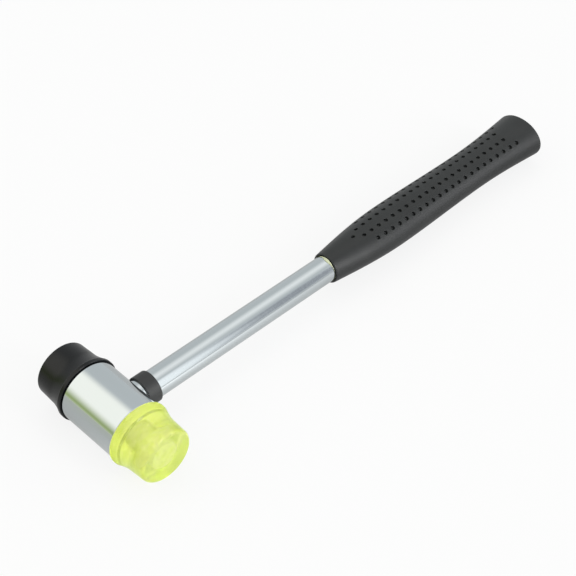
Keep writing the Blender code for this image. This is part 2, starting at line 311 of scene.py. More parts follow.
# %% [markdown]
# ## Black rubbers
# The soft face, the collar and the grip are black rubber, moulded in steel tools with a sparked surface.
# That leaves a fine grit which scatters light: blacks turn to charcoal, and highlights are broad and soft.
# The three differ only in colour, gloss and grit, so one function makes them all. Handling leaves faint
# lighter clouds on rubber, which a slow noise lays over the colour. Shade is painted at the bottom of the
# dimples, where an attribute marks the mesh: the rubber there is darker, nearly black.

# %% Moulded rubber
# painted shade at the bottom of the dimples, where the mesh marks it
PIT_SHADE = "#040404"
HAND_CLOUD = 9  # mm


def moulded_rubber(name, tints, gloss_range, ior, grit, grit_depth):
    """Moulded rubber between two tints, with its roughness, its IOR and its grit in millimetres."""
    made, tree, output = blank_material(name)
    here = add(tree, "ShaderNodeTexCoord", {}).outputs["Object"]
    clouds = add(tree, "ShaderNodeTexNoise", {"Vector": here, "Scale": per_metre(HAND_CLOUD), "Detail": 3})
    grains = add(tree, "ShaderNodeTexNoise", {"Vector": here, "Scale": per_metre(grit), "Detail": 2})
    tint = add(tree, "ShaderNodeValToRGB", {"Fac": clouds.outputs["Fac"]})
    for stop, position, shade in zip(tint.color_ramp.elements, NOISE_SPREAD, tints):
        stop.position = position
        stop.color = colour(shade)
    # the mesh marks where shade is painted: the bottom of the grip's dimples
    pits = add(tree, "ShaderNodeAttribute", {}, attribute_name="painted_shade")
    shaded = add(
        tree,
        "ShaderNodeMix",
        {"Factor": pits.outputs["Fac"], MIX_A: tint.outputs["Color"], MIX_B: colour(PIT_SHADE)},
        data_type="RGBA",
    )
    gloss = add(
        tree,
        "ShaderNodeMapRange",
        {"Value": grains.outputs["Fac"], **dict(zip(RANGE, NOISE_SPREAD + gloss_range))},
    )
    relief = add(
        tree,
        "ShaderNodeBump",
        {"Height": grains.outputs["Fac"], "Strength": 0.6, "Distance": grit_depth * MM},
    )
    surface = add(
        tree,
        "ShaderNodeBsdfPrincipled",
        {
            "Base Color": shaded.outputs[MIX_RESULT],
            "Roughness": gloss.outputs["Result"],
            "Normal": relief.outputs["Normal"],
            "IOR": ior,
        },
    )
    tree.links.new(surface.outputs["BSDF"], output.inputs["Surface"])
    return made


face_rubber = moulded_rubber("black_moulded_rubber", ("#090a0b", "#0f1112"), (0.2, 0.28), 1.34, 0.5, 0.012)
collar_rubber = moulded_rubber("black_collar_rubber", ("#1d1e1f", "#242626"), (0.44, 0.52), 1.5, 0.5, 0.01)
grip_rubber = moulded_rubber("charcoal_grip_rubber", ("#141616", "#1b1d1d"), (0.36, 0.44), 1.46, 0.6, 0.02)
print("made", face_rubber.name, collar_rubber.name, grip_rubber.name)

# %% [markdown]
# ## Zinc plate and adhesive
# The studs and the plug in the tube are turned steel with a thin zinc plate: pale, cloudy where the plate
# is thicker, and so matt that it sends most of the light back spread wide. The adhesive that seals the
# grip to the tube has squeezed out and cured to a pale straw colour with a wet gloss.

# %% Zinc plate
ZINC_TINTS = ("#ecece8", "#f6f6f4")
ZINC_CLOUD = 1.6  # mm
ZINC_GLOSS = (0.72, 0.82)


def zinc_plate():
    made, tree, output = blank_material("bright_zinc_plate")
    here = add(tree, "ShaderNodeTexCoord", {}).outputs["Object"]
    clouds = add(tree, "ShaderNodeTexNoise", {"Vector": here, "Scale": per_metre(ZINC_CLOUD), "Detail": 4})
    tint = add(tree, "ShaderNodeValToRGB", {"Fac": clouds.outputs["Fac"]})
    for stop, position, shade in zip(tint.color_ramp.elements, NARROW_SPREAD, ZINC_TINTS):
        stop.position = position
        stop.color = colour(shade)
    gloss = add(
        tree,
        "ShaderNodeMapRange",
        {"Value": clouds.outputs["Fac"], **dict(zip(RANGE, NOISE_SPREAD + ZINC_GLOSS))},
    )
    surface = add(
        tree,
        "ShaderNodeBsdfPrincipled",
        {"Base Color": tint.outputs["Color"], "Metallic": 1, "Roughness": gloss.outputs["Result"]},
    )
    tree.links.new(surface.outputs["BSDF"], output.inputs["Surface"])
    return made


zinc = zinc_plate()
print("made", zinc.name)

# %% Cured adhesive
GLUE_TINTS = ("#b6b994", "#ccd0b0")
GLUE_LUMP = 0.8  # mm
GLUE_RELIEF = 0.05  # mm


def cured_adhesive():
    made, tree, output = blank_material("cured_straw_adhesive")
    here = add(tree, "ShaderNodeTexCoord", {}).outputs["Object"]
    lumps = add(tree, "ShaderNodeTexNoise", {"Vector": here, "Scale": per_metre(GLUE_LUMP), "Detail": 2})
    tint = add(tree, "ShaderNodeValToRGB", {"Fac": lumps.outputs["Fac"]})
    for stop, position, shade in zip(tint.color_ramp.elements, NOISE_SPREAD, GLUE_TINTS):
        stop.position = position
        stop.color = colour(shade)
    relief = add(
        tree,
        "ShaderNodeBump",
        {"Height": lumps.outputs["Fac"], "Strength": 0.5, "Distance": GLUE_RELIEF * MM},
    )
    surface = add(
        tree,
        "ShaderNodeBsdfPrincipled",
        {
            "Base Color": tint.outputs["Color"],
            "Roughness": 0.3,
            "Normal": relief.outputs["Normal"],
            "IOR": 1.48,
        },
    )
    tree.links.new(surface.outputs["BSDF"], output.inputs["Surface"])
    return made


adhesive = cured_adhesive()
print("made", adhesive.name)

# %% [markdown]
# ## Turning on a lathe, and handing a piece over
# Most of the hammer is turned, so most meshes are a profile spun round an axis. The profile is drawn as
# pairs of distance along the axis and radius. One helper adds a ring beside each end of a long straight
# run: smooth shading bends the normals where a run meets a round, and without that ring the bend would
# spread along the whole run and warp what chrome mirrors. One spins a profile, and one gives the points of
# a rounded edge. A fourth hands over a finished piece: it welds the seam, turns the faces outwards, lays
# the mesh down in the frame, and says what the piece rides on and which solid it replaces.

# %% Lathe and rounded edges
WELD = 0.002 * MM  # vertices closer than this are one
HOLD = 0.12  # from an edge to the ring that holds the shading beside it
LONG_RUN = 4 * HOLD  # shorter runs need no such rings


def held(profile):
    """Adds a point just inside both ends of every long run."""
    kept = [profile[0]]
    for start, end in zip(profile, profile[1:]):
        run = Vector(end) - Vector(start)
        if run.length > LONG_RUN:
            inwards = HOLD * run.normalized()
            kept += [tuple(Vector(start) + inwards), tuple(Vector(end) - inwards)]
        kept.append(end)
    return kept


def spun(profile, steps):
    """Spins (along, radius) pairs about Z. A profile off the axis is closed into a ring."""
    bm = bmesh.new()
    corners = [bm.verts.new((radius * MM, 0, along * MM)) for along, radius in held(profile)]
    edges = [bm.edges.new(pair) for pair in zip(corners, corners[1:])]
    if profile[0][1] > 0:
        edges.append(bm.edges.new((corners[-1], corners[0])))
    whole = corners + edges
    bmesh.ops.spin(
        bm, geom=whole, axis=(0, 0, 1), cent=(0, 0, 0), angle=math.tau, steps=steps, use_merge=True
    )
    bmesh.ops.remove_doubles(bm, verts=bm.verts, dist=WELD)
    return bm


def edge_round(along, radius, size, start, end, steps=6):
    """Points of a round about a centre, between two angles in degrees counted from the axis."""
    turns = [math.radians(start + (end - start) * step / steps) for step in range(steps + 1)]
    return [(along + size * math.cos(turn), radius + size * math.sin(turn)) for turn in turns]


print("a rounded edge has", len(edge_round(0, 0, 1, 0, 90)), "points")

# %% Handing over
ALONG_HANDLE = Matrix.Rotation(math.radians(90), 4, "Y")
CRISP = math.radians(32)  # edges that turn by more stay crisp


def along_head(side):
    """Turns the lathe's axis on to the head, pointing out of it at that side."""
    return Matrix.Rotation(math.radians(-90 * side), 4, "X")


def finished(bm, turn, name, body, node, material):
    """Makes the piece from a bmesh: welded, facing outwards, laid down, riding and dressed."""
    bmesh.ops.remove_doubles(bm, verts=bm.verts, dist=WELD)
    bmesh.ops.recalc_face_normals(bm, faces=bm.faces)
    bmesh.ops.transform(bm, matrix=lay_down @ turn, verts=bm.verts)
    mesh = bpy.data.meshes.new(name)
    bm.to_mesh(mesh)
    bm.free()
    mesh.shade_smooth()
    mesh.set_sharp_from_angle(angle=CRISP)
    mesh.materials.append(material)
    piece = bpy.data.objects.new(name, mesh)
    bpy.context.scene.collection.objects.link(piece)
    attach(piece, body)
    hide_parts(node)
    print(name, "has", len(mesh.polygons), "faces")
    return piece


print("edges stay crisp above", round(math.degrees(CRISP)), "degrees")

# %% [markdown]
# ## The barrel
# The barrel is a length of bar, bored and tapped at both ends for the studs and drilled from one flank for
# the handle. It could be a cylinder with three cuts. Here the bores are part of the turned profile, which
# gives clean rings with rounded edges, and only the socket for the handle is a Boolean cut. A fine
# division round the barrel keeps its reflections straight.

# %% Barrel
BARREL_EDGE = 0.4
STUD_BORE = 4.3  # radius
BORE_DEPTH = 8.0
BORE_COUNTERSINK = 0.6
SOCKET_CLEARANCE = 0.2
SOCKET_DEPTH = 21.4  # from the flank
BARREL_STEPS = 288
SOCKET_STEPS = 128


def barrel_profile():
    """One half of the barrel, from the bottom of a bore to the middle of the flank, then its mirror."""
    bottom = barrel_half - BORE_DEPTH
    half = [(bottom, 0), (bottom, STUD_BORE), (barrel_half - BORE_COUNTERSINK, STUD_BORE)]
    half += [(barrel_half, STUD_BORE + BORE_COUNTERSINK)]
    half += edge_round(barrel_half - BARREL_EDGE, barrel_radius - BARREL_EDGE, BARREL_EDGE, 0, 90)
    return half + [(-along, radius) for along, radius in reversed(half)]


def cut_by(piece, bm, turn):
    """Takes a closed shape out of a piece for good."""
    bmesh.ops.recalc_face_normals(bm, faces=bm.faces)
    bmesh.ops.transform(bm, matrix=lay_down @ turn, verts=bm.verts)
    shape = bpy.data.meshes.new("cutter")
    bm.to_mesh(shape)
    bm.free()
    cutter = bpy.data.objects.new("cutter", shape)
    bpy.context.scene.collection.objects.link(cutter)
    boolean = piece.modifiers.new("cut", "BOOLEAN")
    boolean.operation = "DIFFERENCE"
    boolean.solver = "EXACT"
    boolean.object = cutter
    result = bpy.data.meshes.new_from_object(piece.evaluated_get(bpy.context.evaluated_depsgraph_get()))
    piece.modifiers.clear()
    piece.data = result
    bpy.data.objects.remove(cutter)
    welded = bmesh.new()
    welded.from_mesh(result)
    bmesh.ops.remove_doubles(welded, verts=welded.verts, dist=WELD)
    bmesh.ops.dissolve_degenerate(welded, edges=welded.edges, dist=WELD)
    welded.to_mesh(result)
    welded.free()
    result.shade_smooth()
    result.set_sharp_from_angle(angle=CRISP)


bm = spun(barrel_profile(), BARREL_STEPS)
barrel = finished(bm, along_head(1), "chromed_barrel", "hammer", "head_barrel", barrel_chrome)
socket_bottom = barrel_radius - SOCKET_DEPTH
socket_radius = tube_radius + SOCKET_CLEARANCE
past_flank = 2 * barrel_radius
socket = [(socket_bottom, 0), (socket_bottom, socket_radius), (past_flank, socket_radius), (past_flank, 0)]
cut_by(barrel, spun(socket, SOCKET_STEPS), ALONG_HANDLE)
print("barrel with its socket:", len(barrel.data.polygons), "faces")

# %% [markdown]
# ## The two striking faces
# Both faces have one form: a rim against the barrel, a hollow flare, and a body that tapers slightly to a
# flat striking end with a rounded edge. Only the clear one has a fine knurl on its rim, two mould lines on
# its flare and a rounder end. The flare is a quadratic curve whose last control point lies on the body's
# own taper, so the two run into each other. The knurl is a chequer: every second field of it is pulled in.
# The moulding has no pocket here: its stud sits in it as in the real one, with plastic right against the
# metal, because a gap of air would mirror like a bubble.

# %% Striking faces
FACE_RIM_WIDTH = 1.8
FACE_RIM_EDGE = 0.2
FACE_FLARE_RADIUS = 14.8
FACE_KNEE = 6.2  # from the back to where the flare would meet the body
FACE_KNEE_RADIUS = 13.3
FACE_BLEND = 2.5
FACE_END_RADIUS = 12.8
HARD_END_ROUND = 1.9
SOFT_END_ROUND = 0.9
END_ROUND_STEPS = 10
FLARE_STEPS = 24
MOULD_LINES = (7, 9)  # steps of the flare that are fine grooves
MOULD_LINE_DEPTH = 0.25
KNURL_LINES = 240
KNURL_ROWS = 5  # on the rim
KNURL_END = 3.3  # from the back, on the flare
KNURL_CELL = 2  # lines and rows to a field of the chequer
KNURL_DEPTH = 0.25
KNURL_SHADE = 0.3  # of the painted shade that a mould line gets
ON_ROW = HOLD / 2  # a corner this near to a row lies on it


def flare(back, length):
    """The hollow curve from the rim to the body."""
    taper = (FACE_END_RADIUS - FACE_KNEE_RADIUS) / (length - FACE_KNEE)
    start = Vector((back + FACE_RIM_WIDTH, FACE_FLARE_RADIUS))
    knee = Vector((back + FACE_KNEE, FACE_KNEE_RADIUS))
    end = knee + FACE_BLEND * Vector((1, taper))
    shares = [step / FLARE_STEPS for step in range(FLARE_STEPS + 1)]
    return [(1 - t) ** 2 * start + 2 * t * (1 - t) * knee + t * t * end for t in shares]


def row_of(vertex, rows):
    """Which of those (along, radius) rows a corner of the lathe's mesh lies on, or None."""
    place = Vector((vertex.co.z, math.hypot(vertex.co.x, vertex.co.y))) / MM
    gaps = [(Vector(row) - place).length for row in rows]
    nearest = min(gaps, default=math.inf)
    return gaps.index(nearest) if nearest < ON_ROW else None


def knurl(bm, rows, painted_shade):
    """Pulls in every second field of a chequer over those rows, and marks painted shade in those fields."""
    for vertex in bm.verts:
        row = row_of(vertex, rows)
        line = round(math.atan2(vertex.co.y, vertex.co.x) / math.tau * KNURL_LINES)
        if row is not None and (line // KNURL_CELL + row // KNURL_CELL) % 2:
            share = 1 - KNURL_DEPTH * MM / math.hypot(vertex.co.x, vertex.co.y)
            vertex.co.x *= share
            vertex.co.y *= share
            vertex[painted_shade] = max(vertex[painted_shade], KNURL_SHADE)


def striking_face(side, name, body, node, material, end_round, lined):
    """A striking face, with mould lines and a knurl where it is lined."""
    low, high = reach(node)
    back = min(abs(low.y), abs(high.y))
    end = max(abs(low.y), abs(high.y))
    rim_radius = high.z
    row_step = (FACE_RIM_WIDTH - 2 * FACE_RIM_EDGE) / (KNURL_ROWS - 1)
    rim = [(back + FACE_RIM_EDGE + row_step * row, rim_radius) for row in range(KNURL_ROWS)]
    hollow = flare(back, end - back)
    lines = [hollow[line] for line in MOULD_LINES if lined]
    for point in lines:
        point.y -= MOULD_LINE_DEPTH
    hollow = [tuple(point) for point in hollow]
    rows = [point for point in rim + hollow if lined and point[0] < back + KNURL_END]
    profile = [(back, 0), (back, rim_radius - FACE_RIM_EDGE)] + rim + hollow
    profile += edge_round(end - end_round, FACE_END_RADIUS - end_round, end_round, 90, 0, END_ROUND_STEPS)
    profile += [(end, 0)]
    bm = spun(profile, KNURL_LINES)
    # shade is painted in full on the mould lines, and in part on the knurl's pulled-in fields
    painted_shade = bm.verts.layers.float.new("painted_shade")
    for vertex in bm.verts:
        vertex[painted_shade] = float(row_of(vertex, lines) is not None)
    knurl(bm, rows, painted_shade)
    return finished(bm, along_head(side), name, body, node, material)


striking_face(
    -1, "clear_hard_face", "hard_face", "hard_face", yellow_plastic, HARD_END_ROUND, True
)
striking_face(
    1, "rubber_soft_face", "soft_face", "soft_face", face_rubber, SOFT_END_ROUND, False
)

# %% [markdown]
# ## The studs
# Each face is moulded round the head of a steel stud, whose threaded end screws into the barrel. It shows
# through the clear face, and when a face is unscrewed. A thread could be a swept ridge, but then its ends
# and its root need stitching. Instead the shank is spun from many narrow rings, and each corner is moved
# in by how far it lies from the crest of one helix, which leaves one closed skin.

# %% Threaded studs
STUD_HEAD_EDGE = 0.5
STUD_CHAMFER = 0.7
THREAD_PITCH = 1.25
THREAD_DEPTH = 0.62
THREAD_RINGS = 12  # to a pitch
THREAD_SLACK = 0.01  # for rounding errors
STUD_STEPS = 72
STUD_RADIUS = 4.0
STUD_HEAD_LENGTH = 5.0


def thread(bm, tip, stop):
    """Cuts a helical thread into the shank, fading out in its last turn before the stop."""
    for vertex in bm.verts:
        along = vertex.co.z / MM
        radius = math.hypot(vertex.co.x, vertex.co.y) / MM
        if radius < STUD_RADIUS - STUD_CHAMFER - THREAD_SLACK or not tip <= along < stop:
            continue
        turn = math.atan2(vertex.co.y, vertex.co.x) / math.tau
        off_crest = abs((along / THREAD_PITCH - turn) % 1 - 0.5) * 2
        run_out = min(1, (stop - along) / THREAD_PITCH)
        share = 1 - THREAD_DEPTH * off_crest * run_out / radius
        vertex.co.x *= share
        vertex.co.y *= share


def threaded_stud(side, name, body, node, face):
    low, high = reach(node)
    face_back = min(abs(corner.y) for corner in reach(face))
    tip = min(abs(low.y), abs(high.y))
    front = max(abs(low.y), abs(high.y))
    head_radius = high.z
    shoulder = front - STUD_HEAD_LENGTH
    profile = [(front, 0)]
    profile += edge_round(front - STUD_HEAD_EDGE, head_radius - STUD_HEAD_EDGE, STUD_HEAD_EDGE, 0, 90)
    profile += [(shoulder, head_radius), (shoulder, STUD_RADIUS)]
    chamfer_start = tip + STUD_CHAMFER
    rings = round((shoulder - chamfer_start) / THREAD_PITCH * THREAD_RINGS)
    step = (shoulder - chamfer_start) / rings
    profile += [(shoulder - step * ring, STUD_RADIUS) for ring in range(1, rings + 1)]
    profile += [(tip, STUD_RADIUS - STUD_CHAMFER), (tip, 0)]
    bm = spun(profile, STUD_STEPS)
    thread(bm, tip, face_back + THREAD_PITCH)
    return finished(bm, along_head(side), name, body, node, zinc)


threaded_stud(-1, "hard_face_threaded_stud", "hard_stud", "hard_face_stud", "hard_face")
threaded_stud(1, "soft_face_threaded_stud", "soft_stud", "soft_face_stud", "soft_face")

# %% [markdown]
# ## Tube, collar and plug
# The handle is a thin-walled tube, chromed outside. A short rubber collar is pushed up it against the
# barrel, square at the barrel and a little rounded at the other end. Both are rings, so their profiles
# stay off the axis and are closed into a loop. The steel plug that is pressed into the tube's end can't be
# seen: its solid is right as it is and only gets the zinc plate.

# %% Tube
TUBE_WALL = 1.0
TUBE_EDGE = 0.25
TUBE_EDGE_STEPS = 3
TUBE_STEPS = 160


def chromed_tube():
    start, end = tube_low.x, tube_high.x
    inner = tube_radius - TUBE_WALL
    profile = [(start, inner)]
    profile += edge_round(start + TUBE_EDGE, tube_radius - TUBE_EDGE, TUBE_EDGE, 180, 90, TUBE_EDGE_STEPS)
    profile += edge_round(end - TUBE_EDGE, tube_radius - TUBE_EDGE, TUBE_EDGE, 90, 0, TUBE_EDGE_STEPS)
    profile += [(end, inner)]
    bm = spun(profile, TUBE_STEPS)
    return finished(bm, ALONG_HANDLE, "chromed_tube", "hammer", "handle_tube", tube_chrome)


chromed_tube()

# %% Collar and plug
COLLAR_CLEARANCE = 0.05
COLLAR_NEAR_ROUND = 0.3
COLLAR_FAR_ROUND = 0.6
COLLAR_STEPS = 128


def rubber_collar():
    low, high = reach("handle_collar")
    inner = tube_radius + COLLAR_CLEARANCE
    profile = [(low.x, inner)]
    profile += edge_round(
        low.x + COLLAR_NEAR_ROUND, high.z - COLLAR_NEAR_ROUND, COLLAR_NEAR_ROUND, 180, 90
    )
    profile += edge_round(high.x - COLLAR_FAR_ROUND, high.z - COLLAR_FAR_ROUND, COLLAR_FAR_ROUND, 90, 0)
    profile += [(high.x, inner)]
    bm = spun(profile, COLLAR_STEPS)
    return finished(
        bm, ALONG_HANDLE, "rubber_collar", "hammer", "handle_collar", collar_rubber
    )


rubber_collar()
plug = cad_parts["tube_plug"]
plug.data.materials.clear()
plug.data.materials.append(zinc)
print("plug dressed in", zinc.name)

# %% [markdown]
# ## The grip
# The grip is an oval rubber sleeve that swells from its mouth to a belly, slims to a waist and flares at
# the butt. Four rows of small round dimples, led by a single one, run along each broad side. The dimples
# could be cut by a Boolean, but its edges would stay sharp, and moulded rubber has none. So the grip is a
# cage for a Subdivision Surface: its lines run beside every dimple, so each dimple has a square cell of
# its own, which is inset and pushed in. Subdividing then turns the squares into soft round pits.
#
# A ring of corners is extruded from section to section. Each corner carries two labels of its own, the
# angle round the grip and the distance from the mouth, which the extrusion copies, so a short rule can put
# it in its place and can find it again.

# %% Sections of the grip
GRIP_CLEARANCE = 0.2
LIP_WALL = 0.9
BELLY = 43.5
BELLY_WALLS = (5.2, 2.5)  # along the head's axis, and upwards
WAIST = 99.5
WAIST_WALLS = (4.3, 1.8)
BUTT_WALLS = (6.8, 3.6)
BUTT_SHIFT = 1.7
BUTT_ROUND = 1.1
BUTT_SOLID = 7.8

grip_low, grip_high = reach("grip_sleeve")
grip_start = grip_low.x
grip_length = grip_high.x - grip_low.x
grip_bore = tube_radius + GRIP_CLEARANCE


def swell(distance, belly, waist, butt):
    """The rubber's thickness: rising to the belly, easing to the waist, flaring at the butt."""
    if distance < BELLY:
        return LIP_WALL + (belly - LIP_WALL) * math.sin(math.pi / 2 * distance / BELLY)
    if distance < WAIST:
        share = (distance - BELLY) / (WAIST - BELLY)
        return belly + (waist - belly) * (1 - math.cos(math.pi * share)) / 2
    share = (distance - WAIST) / (grip_length - WAIST)
    return waist + (butt - waist) * (1 - math.cos(math.pi / 2 * share))


def grip_point(distance, angle, inset, overfill):
    """A cage corner on the outside of the grip, at an angle from its upper side."""
    side = grip_bore + swell(distance, BELLY_WALLS[0], WAIST_WALLS[0], BUTT_WALLS[0]) - inset
    top = grip_bore + swell(distance, BELLY_WALLS[1], WAIST_WALLS[1], BUTT_WALLS[1]) - inset
    lean = BUTT_SHIFT * distance / grip_length
    across = lean + side * overfill * math.sin(angle)
    return Vector((grip_start + distance, across, top * overfill * math.cos(angle))) * MM


print("grip from", grip_start, "over", grip_length, "mm")

# %% Lines of the cage
DIMPLE_PITCH = 4.77
DIMPLE_START = 17.7  # from the mouth to the single dimple
DIMPLES_IN_ROW = 22
INNER_ROW = 14.5  # degrees from the middle of the broad side
OUTER_ROW = 40.5
CELL = 3.0  # mm along a dimple's cell
INNER_CELL = 7.2  # degrees either way of the row
OUTER_CELL = 7.9
SIDE_LINES = 5  # between the rows of one broad side and those of the other
LIP_STATIONS = (0.35, 1.2, 3.5, 6.5, 9.5, 12.8)
BUTT_STATIONS = (7.6, 4.6, 2.4)  # from the end

edge = OUTER_ROW + OUTER_CELL
step = (180 - 2 * edge) / (SIDE_LINES + 1)
quarter = [INNER_ROW - INNER_CELL, INNER_ROW + INNER_CELL, OUTER_ROW - OUTER_CELL, edge]
sides = [edge + step * (line + 1) for line in range(SIDE_LINES)]
half = quarter + sides + [180 - turn for turn in quarter[::-1]]
cage_angles = [math.radians(turn) for turn in half] + [math.radians(360 - turn) for turn in half[::-1]]

columns = [DIMPLE_START + DIMPLE_PITCH * column for column in range(DIMPLES_IN_ROW + 2)]
stations = list(LIP_STATIONS)
for column in columns:
    stations += [column - CELL / 2, column + CELL / 2]
stations += [grip_length - station for station in BUTT_STATIONS]
overfill = 6 / (4 + 2 * math.cos(math.tau / len(cage_angles)))  # what subdividing takes off a round
print(len(cage_angles), "lines along the grip and", len(stations), "round it")

# %% Extrude the cage
NOWHERE = -1.0  # distance label of corners that aren't on the outside
BORE_END_HOLD = 0.5  # from the bottom of the bore to its next ring
LIP_RINGS = (0.8, 0.12)  # of the bore, from the mouth
LIP_INSETS = (0.6 * LIP_WALL, 0.12)  # of the mouth's rings, from the outside
BUTT_RINGS = ((BUTT_ROUND, 0), (0.3 * BUTT_ROUND, 0.1), (0, 0.5), (0, 1.6 * BUTT_ROUND))  # back, inset


def grow(bm, edges, labels, distance, place):
    """Extrudes a ring of edges and puts its new corners in place by their angle."""
    turn, from_mouth = labels
    grown = bmesh.ops.extrude_edge_only(bm, edges=edges)["geom"]
    corners = {item for item in grown if isinstance(item, bmesh.types.BMVert)}
    for corner in corners:
        corner[from_mouth] = distance
        corner.co = place(corner[turn])
    edges = [item for item in grown if isinstance(item, bmesh.types.BMEdge)]
    return [item for item in edges if set(item.verts) <= corners]


def bore_ring(along):
    """The rule for a ring of the bore, at that place along the handle."""
    radius = grip_bore * overfill
    return lambda turn: Vector((along, radius * math.sin(turn), radius * math.cos(turn))) * MM


def outside_ring(distance, inset):
    """The rule for a ring of the outside, at that distance from the mouth."""
    return lambda turn: grip_point(distance, turn, inset, overfill)


def grip_cage():
    """The closed cage, from the bottom of the bore over the lip and along the outside to the butt."""
    bm = bmesh.new()
    labels = bm.verts.layers.float.new("turn"), bm.verts.layers.float.new("from_mouth")
    bottom = bore_ring(grip_high.x - BUTT_SOLID)
    circle = bmesh.ops.create_circle(bm, cap_ends=True, segments=len(cage_angles), radius=1)["verts"]
    for corner, turn in zip(circle, cage_angles):
        corner[labels[0]] = turn
        corner[labels[1]] = NOWHERE
        corner.co = bottom(turn)
    ring = list(bm.edges)
    inside = [grip_high.x - BUTT_SOLID - BORE_END_HOLD] + [grip_start + back for back in LIP_RINGS]
    for along in inside:
        ring = grow(bm, ring, labels, NOWHERE, bore_ring(along))
    for inset in LIP_INSETS:
        ring = grow(bm, ring, labels, NOWHERE, outside_ring(0, inset))
    for distance in stations:
        ring = grow(bm, ring, labels, distance, outside_ring(distance, 0))
    for back, inset in BUTT_RINGS:
        ring = grow(bm, ring, labels, NOWHERE, outside_ring(grip_length - back, inset))
    bmesh.ops.contextual_create(bm, geom=ring)
    return bm, labels


cage, cage_labels = grip_cage()
print("cage has", len(cage.faces), "faces")

# %% Find the dimples' cells and push them in
# Each pass is how far a cell draws in and how deep it goes.
DIMPLE_PASSES = ((0.30, 0), (0.12, -0.10), (0.20, -1.0), (0.30, -0.2))
GRIP_LEVELS = 2


def dimple_places():
    """Distance from the mouth and angle of every dimple, on both broad sides."""
    places = [(columns[0], 0)]
    for row, angle in ((1, INNER_ROW), (2, OUTER_ROW)):
        for distance in columns[row:row + DIMPLES_IN_ROW]:
            places += [(distance, angle), (distance, -angle)]
    return [(distance, angle + under) for under in (0, 180) for distance, angle in places]


def cells_for(bm, labels, places):
    """The cage's outside faces whose middles lie nearest to those places."""
    turn, from_mouth = labels
    middles = []
    for face in bm.faces:
        distances = [corner[from_mouth] for corner in face.verts]
        if min(distances) > NOWHERE:
            across = sum(math.sin(corner[turn]) for corner in face.verts)
            up = sum(math.cos(corner[turn]) for corner in face.verts)
            middles.append((face, sum(distances) / len(distances), math.atan2(across, up)))
    found = []
    for distance, angle in places:
        wanted = math.radians(angle)
        gaps = [abs(far - distance) + 1 - math.cos(around - wanted) for _, far, around in middles]
        found.append(middles[gaps.index(min(gaps))][0])
    return found


cells = cells_for(cage, cage_labels, dimple_places())
bmesh.ops.recalc_face_normals(cage, faces=cage.faces)
for draw_in, deeper in DIMPLE_PASSES:
    bmesh.ops.inset_individual(
        cage, faces=cells, thickness=draw_in * MM, depth=deeper * MM, use_even_offset=True
    )
# shade is painted at the bottom of every dimple
painted_shade = cage.verts.layers.float.new("painted_shade")
for cell in cells:
    for corner in cell.verts:
        corner[painted_shade] = 1
grip = finished(
    cage, Matrix.Identity(4), "dimpled_grip", "hammer", "grip_sleeve", grip_rubber
)
smooth = grip.modifiers.new("soften", "SUBSURF")
smooth.levels = GRIP_LEVELS
smooth.render_levels = GRIP_LEVELS
print(len(cells), "dimples pushed in")

# %% [markdown]
# ## The bead of adhesive
# At the grip's mouth a little adhesive has squeezed out on to the tube: full over a short stretch of the
# upper side, and next to nothing elsewhere. It is a quarter-round ring, spun like the rest, whose section
# is then scaled from place to place round the tube.

# %% Adhesive bead
BEAD_WIDTH = 1.2
BEAD_THIN_WIDTH = 0.02
BEAD_HEIGHT = 0.6
BEAD_THIN_HEIGHT = 0.03
BEAD_WIDEST = math.radians(-12)  # from the upper side, towards the hard face
BEAD_GATHER = 18  # the higher, the shorter the full stretch
BEAD_RIPPLE = 0.12
BEAD_RIPPLES = (5, 9)  # waves round the tube
BEAD_STEPS = 144
BEAD_ROUND_STEPS = 8


def bead_share(angle):
    """How full the bead is at an angle from the upper side."""
    ripple = sum(math.sin(waves * angle + waves) for waves in BEAD_RIPPLES) / len(BEAD_RIPPLES)
    full = ((1 + math.cos(angle - BEAD_WIDEST)) / 2) ** BEAD_GATHER
    return min(1, max(0, full * (1 + BEAD_RIPPLE * ripple)))


def adhesive_bead():
    back = reach("grip_glue")[1].x
    inner = tube_radius + COLLAR_CLEARANCE
    quarter_round = edge_round(0, 0, 1, 90, 180, BEAD_ROUND_STEPS)
    profile = [(back, inner)] + [(back + along, inner + up) for along, up in quarter_round]
    bm = spun(profile, BEAD_STEPS)
    for vertex in bm.verts:
        # The lathe's X is the handle's lower side, and its Y the soft face's side.
        angle = math.atan2(vertex.co.y, -vertex.co.x)
        share = bead_share(angle)
        along = vertex.co.z / MM - back
        up = math.hypot(vertex.co.x, vertex.co.y) / MM - inner
        radius = inner + up * (BEAD_THIN_HEIGHT + (BEAD_HEIGHT - BEAD_THIN_HEIGHT) * share)
        along *= BEAD_THIN_WIDTH + (BEAD_WIDTH - BEAD_THIN_WIDTH) * share
        vertex.co = Vector((-radius * math.cos(angle), radius * math.sin(angle), back + along)) * MM
    return finished(bm, ALONG_HANDLE, "adhesive_bead", "hammer", "grip_glue", adhesive)


adhesive_bead()

# %% [markdown]
# ## The table
# The hammer lies on a plain white table. To the camera it is an even white, which a plain table under soft
# light would not quite reach, so most of its brightness is a glow for camera rays. The rest is lit paint,
# and that part keeps the hammer's shadow. The chrome and the clear plastic see a share of that white over
# a greyer paint, with a pool of light painted on it in front of the head: a glow, where no lamp shines.

# %% White table
TABLE_SIZE = 3.0  # metres, as is the pool
TABLE_WHITE = "#fafafa"
TABLE_PAINT = "#a6a6a6"
TABLE_ROUGHNESS = 0.3
SHADOW_SHARE = 0.12  # of the table's brightness that a shadow can take away
MIRRORED_SHARE = 0.35  # of that white that metal and clear plastic show
# a pool of light painted on the table in front of the head, a glow that no lamp casts
POOL_MIDDLE = Vector((-0.085, -0.085, 0))
POOL_RADII = (0.28, 0.14, 1)  # along the handle, across it
POOL_LIGHT = 1.6


